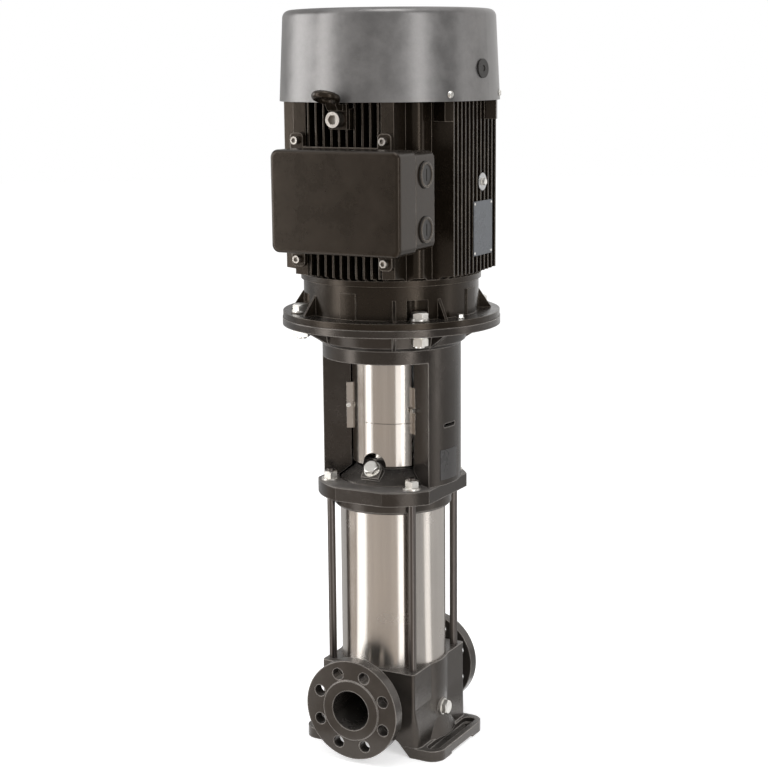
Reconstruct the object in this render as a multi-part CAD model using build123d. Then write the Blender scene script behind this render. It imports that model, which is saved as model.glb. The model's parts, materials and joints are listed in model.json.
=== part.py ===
from build123d import *
from math import atan, copysign, cos, degrees, radians, sin, sqrt
import os

# Vertical multistage pump with its motor on top. Millimetres, +Z up.
# The origin is on the floor, below the middle of the base. The two pipe ports
# lie in line along Y, the feet stand out along X.

# Pipe ports
port_to_port = 300.0
port_height = 90.0
port_bore = 66.0
port_flange_diameter = 165.0
port_flange_thickness = 20.0
raised_face_diameter = 100.0
raised_face_height = 2.5
port_bolt_circle = 125.0
port_bolt_count = 8
port_bolt_hole = 19.0
discharge_hole_extra = 0.4
port_neck_diameter = 88.0
port_neck_flare = 8.0
port_neck_flare_length = 14.0
port_wall = 8.0

# Base casting
base_height = 145.0
bowl_diameter = 181.0
bowl_flare = 13.0
bowl_flare_height = 46.0
body_width_x = 171.0
body_width_y = 184.0
body_corner = 5.0
foot_length = 256.0
foot_width = 176.0
foot_corner = 24.0
foot_thickness = 18.0
foot_bolt_x = 215.0
foot_bolt_y = 130.0
foot_bolt_hole = 13.5
foot_slot_width = 21.0
foot_slot_depth = 9.0
foot_relief_length = 80.0
foot_relief_height = 4.0
leg_top_height = 84.0
arch_width = 152.0
arch_height = 27.0
arch_roof_width = 96.0
arch_shoulder_width = 5.0
arch_shoulder_drop = 3.0
well_diameter = 92.0
well_wall = 10.0
well_height = 128.0
cavity_floor = 52.0
drain_plug_height = 62.0
drain_plug_across_flats = 22.0
drain_collar_diameter = 27.0
drain_boss_diameter = 30.0
drain_boss_height = 1.5
plug_thread_diameter = 16.0
plug_thread_gap = 0.2
plug_collar_height = 2.0
plug_head_height = 9.0

# Outer sleeve and its seats
sleeve_diameter = 173.0
sleeve_wall = 2.5
sleeve_seat_depth = 14.0
seat_gap = 0.3
seat_spigot_wall = 5.7
o_ring_thickness = 2.5

# Stay bolts on the corners of a square
stay_bolt_spacing = 149.2
stay_bolt_diameter = 12.7
stay_bolt_depth = 45.0
stay_nut_across_flats = 21.0
stay_nut_height = 12.0
stay_washer_diameter = 30.0
stay_washer_thickness = 3.0
stay_bolt_tip = 3.5

# Pump stages
stage_count = 6
stage_pitch = 41.0
stack_low = 143.0
stack_top_space = 16.5
chamber_diameter = 148.0
chamber_wall = 2.0
guide_plate_diameter = 128.0
guide_plate_height = 25.0
guide_vane_count = 7
guide_vane_sweep = 60.0
impeller_diameter = 120.0
impeller_eye = 44.0
impeller_vane_count = 6
impeller_vane_sweep = 75.0
vane_thickness = 2.0
impeller_shroud = 2.0
impeller_low = 5.0
impeller_vane_height = 12.0
impeller_hub_diameter = 30.0
neck_ring_width = 7.0
neck_ring_height = 3.0
bush_width = 4.0
running_gap = 0.3
bearing_gap = 0.08
spacer_wall = 6.0
spacer_slot_count = 6
spacer_slot_width = 32.0
spacer_rim_height = 3.0

# Pump shaft
shaft_diameter = 20.0
shaft_low = 110.0
shaft_collar_diameter = 28.0
shaft_collar_height = 10.0

# Pump head
head_diameter = 194.0
collar_height = 20.5
head_dome_foot = 5.0
head_dome_height = 15.0
head_dome_diameter = 116.0
head_neck_diameter = 100.0
head_neck_height = 16.0
head_wall = 14.0
seal_bore = 60.0
plug_across_flats = 22.0
plug_collar_margin = 3.0
plug_boss_diameter = 32.0
plug_tilt = 45.0
plug_offset = 68.0
plug_rise = 22.0
plug_boss_depth = 30.0

# Motor stool
plate_diameter = 246.0
plate_width_x = 205.0
plate_width_y = 231.0
plate_thickness = 24.0
plate_bore = 176.0
pillar_outer_diameter = 225.0
pillar_guard_gap = 2.0
pillar_skin = 10.0
pillar_web_angle = 6.0
pillar_half_angle = 31.0
pillar_foot_height = 26.0
pillar_top_height = 8.0
pillar_slot_length = 32.0
pillar_slot_width = 6.0
pillar_slot_y = -12.0
pillar_slot_height = 547.0
window_height = 202.0
stool_ring_height = 21.5
stool_cone_margin = 55.0
stool_cone_height = 31.0
stool_flange_thickness = 12.0
stool_rib_thickness = 5.0
dome_gap = 2.5

# Shaft seal
seal_ring_diameter = 36.0
seal_ring_height = 8.0
seal_driver_height = 26.0
gland_diameter = 92.0
gland_thickness = 8.0
gland_bolt_circle = 76.0
gland_screw_diameter = 6.0

# Coupling between the two shafts
coupling_diameter = 76.0
coupling_low = 530.0
coupling_height = 150.0
coupling_split = 1.5
coupling_screw_diameter = 8.0
coupling_screw_offset = 30.0
coupling_screw_share = 0.14
coupling_head_seat = 17.0
coupling_pin_diameter = 6.0
coupling_pin_length = 32.0
coupling_pin_rise = 30.0

# Guards over the two windows
guard_diameter = 130.0
guard_thickness = 1.5
guard_low = 478.0
guard_high = 649.0
guard_notch_diameter = 42.0
guard_ear_low = 530.0
guard_ear_height = 76.0
guard_ear_width = 11.0
guard_screw_height = 569.0
guard_screw_diameter = 5.0
guard_screw_length = 14.0
guard_screw_inset = 4.5

# Motor flange, end shields and bearings
motor_flange_diameter = 350.0
motor_flange_thickness = 10.0
motor_bolt_margin = 25.0
motor_bolt_hole = 18.5
motor_bolt_diameter = 16.0
motor_bolt_across_flats = 24.0
motor_bolt_head_height = 10.0
motor_nut_height = 13.0
motor_washer_diameter = 30.0
motor_washer_thickness = 3.0
bolt_boss_diameter = 33.0
motor_bolt_tip = 3.0
motor_spigot_margin = 50.0
motor_spigot_height = 5.0
shield_margin = 34.0
shield_height = 62.5
shield_rib_height = 31.0
shield_pad_height = 41.0
shield_pad_half_angle = 5.5
bolt_pocket_diameter = 40.0
bolt_pocket_height = 31.0
shield_wall = 9.0
shield_rib_thickness = 5.0
shield_seat_height = 8.0
bolt_seat_height = 1.5
bearing_seat_height = 15.0
bearing_bore = 45.0
bearing_diameter = 100.0
bearing_width = 25.0
bearing_ball = 17.4
bearing_ball_count = 8
bearing_groove_gap = 0.3
bearing_housing_wall = 12.0
bearing_fit = 0.05

# Motor frame
frame_height = 280.0
frame_bore = 224.0
frame_wall = 11.0
frame_corner_width = 226.0
frame_corner_radius = 14.5
fin_reach = 150.0
fin_pitch = 13.5
fin_count = 12
fin_root = 5.0
fin_tip = 3.0
fin_end_drop = 16.0
frame_ring_radius = 145.0
frame_ring_height = 9.0
corner_rib_width = 22.0
motor_shaft_diameter = 42.0
motor_shaft_end = 606.5
rotor_diameter = 132.0
rotor_seat_height = 8.0
end_ring_height = 14.0
air_gap = 0.7
core_length = 190.0
core_low = 815.0
winding_length = 26.0
winding_inset = 6.0
upper_bearing_low = 1038.0
upper_shield_thickness = 14.0

# Fan and fan cover
fan_diameter = 232.0
fan_low = 1098.0
fan_height = 40.0
fan_blade_count = 9
fan_blade_sweep = 28.0
fan_blade_thickness = 3.0
fan_hub_diameter = 62.0
fan_bore = 36.0
cover_diameter = 348.0
cover_top_diameter = 334.0
cover_low = 1058.7
cover_height = 139.3
cover_shoulder = 12.0
cover_wall = 2.5
grille_diameter = 236.0
grille_ring_count = 5
grille_ring_width = 4.0
grille_spoke_count = 12
cover_screw_turn = -6.0
cover_screw_half_angle = 24.0
cover_screw_height = 1069.0
cover_screw_diameter = 6.0
cover_plug_turn = -6.3
cover_plug_height = 1107.0
cover_plug_diameter = 24.0
cover_lug_width = 16.0
cover_lug_length = 30.0

# Terminal box
pad_half_width = 86.0
pad_low = 829.0
pad_high = 992.0
pad_thickness = 10.0
box_left = -74.0
box_right = 145.0
box_low = 838.0
box_high = 991.5
box_back = -131.0
box_front = -242.0
box_seam = -190.0
box_wall = 6.0
box_edge = 12.0
box_screw_x = 76.5
box_screw_spacing = 182.0
box_screw_diameter = 8.0
box_ear_radius = 11.5
box_screw_recess = 11.0
entry_diameter = 41.0
entry_spacing = 81.0
entry_y = -160.0
terminal_block_width = 80.0
terminal_block_height = 48.0
terminal_block_depth = 18.0
terminal_pitch = 25.0
terminal_row_spacing = 26.0

# Name plate and earth screws
name_plate_low = 818.0
name_plate_high = 903.0
name_plate_left = -7.0
name_plate_right = 59.5
name_plate_thickness = 1.2
earth_screw_across_flats = 10.0
earth_collar_diameter = 13.0
earth_collar_height = 1.5
earth_head_height = 5.0
earth_boss_y = 24.6
earth_boss_height = 932.5
earth_boss_diameter = 15.0
flange_earth_margin = 18.0
flange_earth_angle = -19.0

# Lifting eyes
eye_block_width = 33.0
eye_block_low = 1018.0
eye_block_high = 1049.0
eye_block_reach = 158.0
eye_ring_radius = 16.0
eye_ring_thickness = 12.0
eye_ring_reach = 199.0
eye_ring_height = 1067.0
eye_ring_tilt = 18.0
eye_foot_thickness = 7.0
eye_arm_width = 18.0
eye_screw_diameter = 16.0

# Screws, as shares of their diameter, and the small gaps between pieces
cap_head_share = 0.75
cap_socket_share = 0.42
tapped_gap = 0.1
bore_fit = 0.05

# Worked out from the sizes above
sleeve_radius = sleeve_diameter / 2
sleeve_inner = sleeve_radius - sleeve_wall
stack_high = stack_low + stage_count * stage_pitch
head_low = stack_high + stack_top_space
plate_low = head_low + collar_height
plate_high = plate_low + plate_thickness
ring_low = plate_high + window_height
ring_high = ring_low + stool_ring_height
flange_face = ring_high + stool_cone_height + stool_flange_thickness
shield_low = flange_face + motor_flange_thickness
frame_low = flange_face + shield_height
frame_high = frame_low + frame_height
pillar_inner = guard_diameter / 2 + pillar_guard_gap
shaft_radius = shaft_diameter / 2
shaft_high = motor_shaft_end - 5
motor_bolt_circle = motor_flange_diameter - 2 * motor_bolt_margin
motor_flange_radius = motor_flange_diameter / 2
shield_radius = motor_flange_radius - shield_margin
motor_spigot_radius = motor_flange_radius - motor_spigot_margin
stool_cone_radius = motor_flange_radius - stool_cone_margin
flange_earth_radius = motor_flange_radius - flange_earth_margin
plug_seat_x = bowl_diameter / 2 + drain_boss_height
bearing_seat = flange_face + bearing_seat_height
bearing_radius = bearing_diameter / 2
bolt_seat = shield_low + bolt_seat_height
frame_bore_radius = frame_bore / 2
pin_height = coupling_low + coupling_pin_rise
box_middle = (pad_low + pad_high) / 2
stay_points = [(x * stay_bolt_spacing / 2, y * stay_bolt_spacing / 2) for x in (-1, 1) for y in (-1, 1)]
gland_offset = gland_bolt_circle / 2 * cos(radians(45))
gland_points = [(x * gland_offset, y * gland_offset) for x in (-1, 1) for y in (-1, 1)]
coupling_screw_points = [(side * coupling_screw_offset, coupling_low + share * coupling_height)
                         for side in (-1, 1) for share in (coupling_screw_share, 1 - coupling_screw_share)]
box_screw_points = [(side * box_screw_x, box_middle + rise * box_screw_spacing / 2)
                    for side in (-1, 1) for rise in (-1, 1)]
rib_angles = [quarter + offset for quarter in (0, 90, 180, 270) for offset in (30, 60)]
pad_angles = [0, 90, 180, 270]
bolt_angles = [45, 135, 225, 315]
BASE = (Align.CENTER, Align.CENTER, Align.MIN)


def disc(radius, low, high, x=0.0, y=0.0):
    """Upright cylinder between two heights."""
    return Pos(x, y, low) * Cylinder(radius, high - low, align=BASE)


def tube(outer, inner, low, high):
    """Upright pipe about the pump's axis."""
    return disc(outer, low, high) - disc(inner, low - 1, high + 1)


def block(x_low, x_high, y_low, y_high, z_low, z_high):
    """Box between two corners."""
    size = (x_high - x_low, y_high - y_low, z_high - z_low)
    return Pos(x_low, y_low, z_low) * Box(*size, align=(Align.MIN, Align.MIN, Align.MIN))


def turned(*corners):
    """Solid turned about the pump's axis from (radius, height) corners."""
    outline = Polyline(*[(radius, 0, height) for radius, height in corners], close=True)
    return revolve(make_face(outline), Axis.Z)


def along_y(radius, y_low, y_high, x, z):
    """Cylinder that lies along Y."""
    return Pos(x, y_low, z) * Rot(-90, 0, 0) * Cylinder(radius, y_high - y_low, align=BASE)


def along_x(radius, x_low, x_high, y, z):
    """Cylinder that lies along X."""
    return Pos(x_low, y, z) * Rot(0, 90, 0) * Cylinder(radius, x_high - x_low, align=BASE)


def hexagon(across_flats, height):
    """Hexagon prism that stands on the XY plane, with its top corners broken."""
    corner_radius = across_flats / sqrt(3)
    prism = extrude(RegularPolygon(across_flats / 2, 6, major_radius=False), height)
    dome = Cone(corner_radius + height * 0.9, across_flats * 0.46, height, align=BASE)
    return prism & dome


def cap_screw(diameter, length):
    """Socket cap screw: its head stands up from the XY plane, its shank hangs below."""
    head = Cylinder(diameter * cap_head_share, diameter, align=BASE)
    opening = RegularPolygon(diameter * cap_socket_share, 6, major_radius=False)
    socket = Pos(0, 0, diameter / 2) * extrude(opening, diameter)
    shank = Pos(0, 0, -length) * Cylinder(diameter / 2, length, align=BASE)
    return head - socket + shank


def curved_vane(inner_radius, outer_radius, sweep_angle, thickness, low, high, turn=0.0):
    """Upright vane that curls backwards as it runs outwards."""
    middle_radius = (inner_radius + outer_radius) / 2
    points = []
    for radius, share in ((inner_radius, 0.0), (middle_radius, 0.38), (outer_radius, 1.0)):
        angle = radians(turn + share * sweep_angle)
        points.append((radius * cos(angle), radius * sin(angle)))
    return Pos(0, 0, low) * extrude(trace(ThreePointArc(*points), thickness), high - low)


def ring_of(count, shape, start=0.0):
    """Copies of a shape, evenly turned about the pump's axis."""
    return [Rot(0, 0, start + index * 360 / count) * shape for index in range(count)]


def save(name, *shapes):
    """Writes one named piece, or one group of like pieces, to its own file."""
    solids = [solid for shape in shapes for solid in shape.solids()]
    export_step(solids[0] if len(solids) == 1 else Compound(solids), f"parts/{name}.step")


def o_ring(height):
    """Rubber ring that seals the sleeve on a spigot."""
    centre_radius = sleeve_inner - seat_gap - o_ring_thickness / 2 + 0.05
    return Pos(0, 0, height) * Torus(centre_radius, o_ring_thickness / 2)


def sleeve_seat(mouth, inward):
    """The ring-shaped cut that takes the sleeve's end, with the groove for its rubber ring."""
    floor = mouth + inward * sleeve_seat_depth
    low, high = min(mouth, floor), max(mouth, floor)
    slot = tube(sleeve_radius + seat_gap, sleeve_inner - seat_gap, low, high)
    middle = (low + high) / 2
    half_groove = o_ring_thickness / 2 + 0.4
    groove_floor = sleeve_inner - seat_gap - o_ring_thickness
    return slot + tube(sleeve_inner, groove_floor, middle - half_groove, middle + half_groove)


# Base casting

def port(side):
    """One pipe port with its neck, round flange and raised face, on the -Y or +Y side."""
    face = port_to_port / 2
    back = face - raised_face_height - port_flange_thickness
    neck = along_y(port_neck_diameter / 2, 0, back, 0, port_height)
    flare = Pos(0, back, port_height) * Rot(90, 0, 0) * Cone(
        port_neck_diameter / 2 + port_neck_flare, port_neck_diameter / 2, port_neck_flare_length, align=BASE)
    flange = along_y(port_flange_diameter / 2, back, face - raised_face_height, 0, port_height)
    raised = along_y(raised_face_diameter / 2, face - raised_face_height, face, 0, port_height)
    whole = neck + flare + flange + raised
    # The holes of both flanges share their axes. Those of the +Y flange are a
    # little wider, so each pattern is its own.
    hole_diameter = port_bolt_hole + (discharge_hole_extra if side > 0 else 0)
    for index in range(port_bolt_count):
        angle = radians(360 / port_bolt_count * (index + 0.5))
        x = port_bolt_circle / 2 * cos(angle)
        z = port_height + port_bolt_circle / 2 * sin(angle)
        whole -= along_y(hole_diameter / 2, back - 1, face, x, z)
    return whole if side > 0 else Rot(0, 0, 180) * whole


def foot():
    """Foot plate with a sunk slot over each pair of floor bolts."""
    outline = RectangleRounded(foot_length, foot_width, foot_corner)
    plate = extrude(outline, foot_thickness)
    for side in (-1, 1):
        slot = RectangleRounded(foot_slot_width, foot_bolt_y + foot_slot_width, foot_slot_width / 2 - 0.1)
        plate -= Pos(side * foot_bolt_x / 2, 0, foot_slot_depth) * extrude(slot, foot_thickness)
        x_low, x_high = sorted((side * foot_length, side * arch_width / 2))
        plate -= block(x_low, x_high, -foot_relief_length / 2, foot_relief_length / 2, -1, foot_relief_height)
        for y in (-foot_bolt_y / 2, foot_bolt_y / 2):
            plate -= disc(foot_bolt_hole / 2, -1, foot_thickness, side * foot_bolt_x / 2, y)
    return plate


def base_body():
    """Round bowl in a square body, on legs that spread down to the foot."""
    bowl_radius = bowl_diameter / 2
    low = foot_thickness - 1
    bowl = turned((0, low), (bowl_radius + bowl_flare, low), (bowl_radius, bowl_flare_height),
                  (bowl_radius, base_height), (0, base_height))
    bowl &= block(-foot_length, foot_length, -foot_width / 2, foot_width / 2, 0, base_height)
    square = RectangleRounded(body_width_x, body_width_y, body_corner)
    upper = Pos(0, 0, leg_top_height) * extrude(square, base_height - leg_top_height)
    leg_foot = RectangleRounded(body_width_x + bowl_flare, foot_width - 1, foot_corner / 2)
    legs = loft([Pos(0, 0, low) * leg_foot, Pos(0, 0, leg_top_height) * square], ruled=True)
    return bowl + upper + legs


def base_arch():
    """The gap under the bowl, between the feet."""
    roof = arch_roof_width / 2
    shoulder = roof + arch_shoulder_width
    shoulder_height = arch_height - arch_shoulder_drop
    outline = Polyline((-arch_width / 2, 0, -1), (-shoulder, 0, shoulder_height), (-roof, 0, arch_height),
                       (roof, 0, arch_height), (shoulder, 0, shoulder_height), (arch_width / 2, 0, -1),
                       close=True)
    return extrude(make_face(outline), foot_width, both=True, dir=(0, 1, 0))


def pump_base():
    """Base casting: the suction port opens into a round well, the discharge port into the space around it."""
    wall_radius = well_diameter / 2 + well_wall
    suction_wall = along_y(port_bore / 2 + port_wall, -port_to_port / 2, 0, 0, port_height)
    annulus_floor = port_height - port_bore / 2 - 1
    spigot_inner = sleeve_inner - seat_gap - seat_spigot_wall
    annulus = tube(spigot_inner, wall_radius, annulus_floor, base_height + 1)
    well = disc(well_diameter / 2, cavity_floor, well_height + 1)
    over_well = disc(wall_radius + 1, well_height, base_height + 1)
    suction = along_y(port_bore / 2, -port_to_port / 2 - 1, 0, 0, port_height)
    discharge = along_y(port_bore / 2, wall_radius + 2, port_to_port / 2 + 1, 0, port_height)
    whole = base_body() + foot() - base_arch() + port(-1) + port(1)
    whole += along_x(drain_boss_diameter / 2, wall_radius + 8, plug_seat_x, 0, drain_plug_height)
    whole -= annulus - suction_wall
    whole -= [well, over_well, suction, discharge, sleeve_seat(base_height, -1)]
    whole -= along_x(plug_thread_diameter / 2, wall_radius + 6, plug_seat_x + 1, 0, drain_plug_height)
    for x, y in stay_points:
        whole -= disc(stay_bolt_diameter / 2 + tapped_gap, base_height - stay_bolt_depth, base_height + 1, x, y)
    return whole


save("pump_base", pump_base())

thread_radius = plug_thread_diameter / 2 - plug_thread_gap
collar_face = plug_seat_x + plug_collar_height
drain_plug = along_x(thread_radius, plug_seat_x - 15, plug_seat_x + 1, 0, drain_plug_height)
drain_plug += along_x(drain_collar_diameter / 2, plug_seat_x, collar_face, 0, drain_plug_height)
drain_head = Rot(0, 90, 0) * hexagon(drain_plug_across_flats, plug_head_height)
save("base_drain_plug", drain_plug + Pos(collar_face, 0, drain_plug_height) * drain_head)

# Sleeve, its rubber rings and the stay bolts
sleeve_low = base_height - sleeve_seat_depth
sleeve_high = head_low + sleeve_seat_depth
save("outer_sleeve", tube(sleeve_radius, sleeve_inner, sleeve_low, sleeve_high))
save("sleeve_o_rings", o_ring(base_height - sleeve_seat_depth / 2), o_ring(head_low + sleeve_seat_depth / 2))

nut_low = plate_high + stay_washer_thickness
nut_high = nut_low + stay_nut_height
stay_bolt = disc(stay_bolt_diameter / 2, base_height - stay_bolt_depth, nut_high + stay_bolt_tip)
save("stay_bolts", *[Pos(x, y, 0) * stay_bolt for x, y in stay_points])
nut_bore = stay_bolt_diameter / 2 + tapped_gap
nut = hexagon(stay_nut_across_flats, stay_nut_height) - disc(nut_bore, -1, stay_nut_height + 1)
save("stay_bolt_nuts", *[Pos(x, y, nut_low) * nut for x, y in stay_points])
washer = tube(stay_washer_diameter / 2, nut_bore, 0, stay_washer_thickness)
save("stay_bolt_washers", *[Pos(x, y, plate_high) * washer for x, y in stay_points])


# Hydraulic stack

eye_radius = impeller_eye / 2
skirt_radius = eye_radius + impeller_shroud
ring_bore = skirt_radius + running_gap
hub_radius = impeller_hub_diameter / 2
bush_radius = hub_radius + bearing_gap + bush_width
chamber_radius = chamber_diameter / 2


def inlet_piece():
    """Cone that carries the stages on the wall of the suction well."""
    well_radius = well_diameter / 2
    return turned((well_radius, well_height), (well_radius + well_wall, well_height),
                  (well_radius + well_wall, well_height + 3), (chamber_radius, stack_low - 3),
                  (chamber_radius, stack_low), (ring_bore, stack_low), (ring_bore, stack_low - 3),
                  (well_radius, well_height + 4))


def chamber(low):
    """One stage's outer wall and roof, with the guide vanes and guide plate that hang below the roof."""
    high = low + stage_pitch
    roof = high - chamber_wall
    guide = low + guide_plate_height
    whole = tube(chamber_radius, chamber_radius - chamber_wall, low, high)
    whole += tube(chamber_radius - 1, ring_bore, roof, high)
    whole += tube(guide_plate_diameter / 2, bush_radius, guide, guide + chamber_wall)
    vane = curved_vane(ring_bore + 4, chamber_radius - 1, guide_vane_sweep, vane_thickness,
                       guide + chamber_wall - 0.5, roof + 0.5)
    return whole + ring_of(guide_vane_count, vane)


def bush(low):
    """Bearing bush in the middle of a guide plate, held by its rim."""
    guide = low + guide_plate_height
    bore = hub_radius + bearing_gap
    return turned((bore, guide), (bush_radius - 0.1, guide), (bush_radius - 0.1, guide + chamber_wall),
                  (bush_radius + 3, guide + chamber_wall), (bush_radius + 3, guide + chamber_wall + 3),
                  (bore, guide + chamber_wall + 3))


def impeller(low):
    """Closed impeller: two shrouds, curved vanes, an inlet skirt and a hub as long as a stage."""
    bottom = low + impeller_low
    top = bottom + impeller_shroud + impeller_vane_height
    rim = impeller_diameter / 2
    whole = tube(rim, eye_radius, bottom, bottom + impeller_shroud)
    whole += tube(skirt_radius, eye_radius, low + 1, bottom + 1)
    whole += tube(rim, shaft_radius + bore_fit, top, top + impeller_shroud)
    whole += tube(hub_radius, shaft_radius + bore_fit, bottom + 1, bottom + 1 + stage_pitch)
    vane = curved_vane(hub_radius - 1, rim - 1, impeller_vane_sweep, vane_thickness,
                       bottom + impeller_shroud - 0.5, top + 0.5)
    vanes = Part() + ring_of(impeller_vane_count, vane)
    return whole + (vanes - disc(hub_radius - 1, low, low + stage_pitch))


stage_lows = [stack_low + index * stage_pitch for index in range(stage_count)]
save("suction_inlet_piece", inlet_piece())
save("intermediate_chambers", *[chamber(low) for low in stage_lows])
save("neck_rings", *[tube(ring_bore + neck_ring_width, ring_bore, low, low + neck_ring_height)
                     for low in stage_lows])
save("bearing_bushes", *[bush(low) for low in stage_lows])
save("impellers", *[impeller(low) for low in stage_lows])

spacer = tube(chamber_radius, chamber_radius - spacer_wall, stack_high, head_low)
half_slot = spacer_slot_width / 2
slot = block(chamber_radius - spacer_wall - 4, chamber_radius + 2, -half_slot, half_slot,
             stack_high + spacer_rim_height, head_low - spacer_rim_height)
save("discharge_spacer", spacer - ring_of(spacer_slot_count, slot))

hub_low = stack_low + impeller_low + 1
pump_shaft = disc(shaft_radius, shaft_low, shaft_high)
pump_shaft += disc(shaft_collar_diameter / 2, hub_low - shaft_collar_height, hub_low)
pump_shaft -= along_x(coupling_pin_diameter / 2 + bore_fit, -shaft_diameter, shaft_diameter, 0, pin_height)
save("pump_shaft", pump_shaft)


# Pump head and priming plug

dome_foot_radius = plate_bore / 2 - 1
dome_low = plate_low + plate_thickness + head_dome_foot
cone_high = dome_low + head_dome_height
gland_face = cone_high + head_neck_height
cone_foot_radius = dome_foot_radius - 2


def on_plug_axis(shape):
    """Turns an upright shape onto the tilted axis of the priming plug."""
    return Pos(0, -plug_offset, plate_high + plug_rise) * Rot(plug_tilt, 0, 0) * shape


def pump_head():
    """Cover of the stages, with the seal chamber and the boss of the priming plug."""
    head_radius = head_diameter / 2
    neck_radius = head_neck_diameter / 2
    dome_radius = head_dome_diameter / 2
    body = turned((0, head_low), (head_radius - 3, head_low), (head_radius, head_low + 3),
                  (head_radius, plate_low), (dome_foot_radius, plate_low), (dome_foot_radius, dome_low - 7),
                  (cone_foot_radius, dome_low - 4), (dome_radius, cone_high), (neck_radius, cone_high),
                  (neck_radius, gland_face), (0, gland_face))
    boss_radius = plug_boss_diameter / 2
    boss = disc(boss_radius, -plug_boss_depth, 0)
    boss += block(-boss_radius, boss_radius, -boss_radius, 0, -plug_boss_depth, 0)
    keep = block(-head_radius, head_radius, -head_radius, 0, plate_high - 2, cone_high + 40)
    body += on_plug_axis(boss) & keep
    hollow_radius = chamber_radius - 8
    roof = cone_high - head_wall
    hollow = turned((0, head_low - 1), (hollow_radius, head_low - 1), (hollow_radius, plate_low + 10),
                    (dome_radius - head_wall + 4, roof), (seal_bore / 2, roof),
                    (seal_bore / 2, gland_face + 1), (0, gland_face + 1))
    body -= hollow
    body -= sleeve_seat(head_low, 1)
    body -= on_plug_axis(disc(plug_thread_diameter / 2 + plug_thread_gap, -2 * plug_boss_depth, 1))
    for x, y in gland_points:
        body -= disc(gland_screw_diameter / 2 + tapped_gap, gland_face - 14, gland_face + 1, x, y)
    return body


save("pump_head", pump_head())

priming_plug = disc(plug_thread_diameter / 2, -14, 1)
priming_plug += disc(plug_across_flats / 2 + plug_collar_margin, 0, plug_collar_height)
priming_plug += Pos(0, 0, plug_collar_height) * hexagon(plug_across_flats, plug_head_height)
save("priming_plug", on_plug_axis(priming_plug))


# Shaft seal

seat_bore = shaft_radius + 0.8
seal_radius = seal_ring_diameter / 2
ring_pocket = seal_radius + tapped_gap
face_height = gland_face - 8.0
seat_top = gland_face - 4
spigot_radius = seal_bore / 2 - 0.2
gland_radius = gland_diameter / 2
gland_high = gland_face + gland_thickness
gland = turned((seat_bore, seat_top), (ring_pocket, seat_top), (ring_pocket, face_height),
               (spigot_radius, face_height), (spigot_radius, gland_face), (gland_radius, gland_face),
               (gland_radius, gland_high - 1), (gland_radius - 1, gland_high), (seat_bore, gland_high))
for x, y in gland_points:
    gland -= disc(gland_screw_diameter / 2 + 0.2, gland_face - 1, gland_high + 1, x, y)
save("seal_gland", gland)
gland_screw = cap_screw(gland_screw_diameter, 20)
save("seal_gland_screws", *[Pos(x, y, gland_high) * gland_screw for x, y in gland_points])
save("seal_stationary_ring", tube(seal_radius, seat_bore, seat_top - seal_ring_height, seat_top))
rotating_top = seat_top - seal_ring_height - 0.05
rotating_low = rotating_top - seal_ring_height
save("seal_rotating_ring", tube(seal_radius - 1, shaft_radius + bore_fit, rotating_low, rotating_top))
driver = tube(seal_radius - 2, shaft_radius + bore_fit, rotating_low - seal_driver_height, rotating_low)
for index in range(4):
    groove = rotating_low - seal_driver_height + 4 + index * 5
    driver -= tube(seal_radius, seal_radius - 4, groove, groove + 2.5)
save("seal_driver", driver)


# Motor stool

def plate_outline():
    """Stay bolt plate: a circle cut flat on its four sides."""
    sides = RectangleRounded(plate_width_x, plate_width_y, 8)
    return Circle(plate_diameter / 2) & sides


def sector(outer, inner, half_angle, low, high, middle=0.0):
    """Upright piece of a ring, about a middle direction."""
    ring = tube(outer, inner, low, high)
    reach = outer / cos(radians(half_angle)) + 1
    corner = (reach * cos(radians(half_angle)), reach * sin(radians(half_angle)))
    wedge = make_face(Polyline((0, 0), corner, (corner[0], -corner[1]), close=True))
    return Rot(0, 0, middle) * (ring & Pos(0, 0, low) * extrude(wedge, high - low))


def dome_clearance():
    """Space that the stool's webs leave over the sloping dome of the pump head."""
    foot_radius = plate_bore / 2
    roof = cone_high + dome_gap
    return turned((0, plate_high - 2), (foot_radius, plate_high - 2), (foot_radius, dome_low - 3),
                  (head_dome_diameter / 2 + 3, roof), (0, roof))


def pillar():
    """One channel-shaped leg of the lantern, on the +X side: an outer skin with a web along each edge."""
    outer = pillar_outer_diameter / 2
    whole = sector(outer, pillar_inner, pillar_half_angle, plate_high, ring_low)
    pocket = sector(outer - pillar_skin, pillar_inner - 1, pillar_half_angle - pillar_web_angle,
                    plate_high + pillar_foot_height, ring_low - pillar_top_height)
    slot = RectangleRounded(pillar_slot_width, pillar_slot_length, pillar_slot_width / 2 - 0.1)
    slot_place = Pos(outer - pillar_skin - 1, pillar_slot_y, pillar_slot_height) * Rot(0, 90, 0)
    return whole - pocket - slot_place * extrude(slot, pillar_skin + 5) - dome_clearance()


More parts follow.
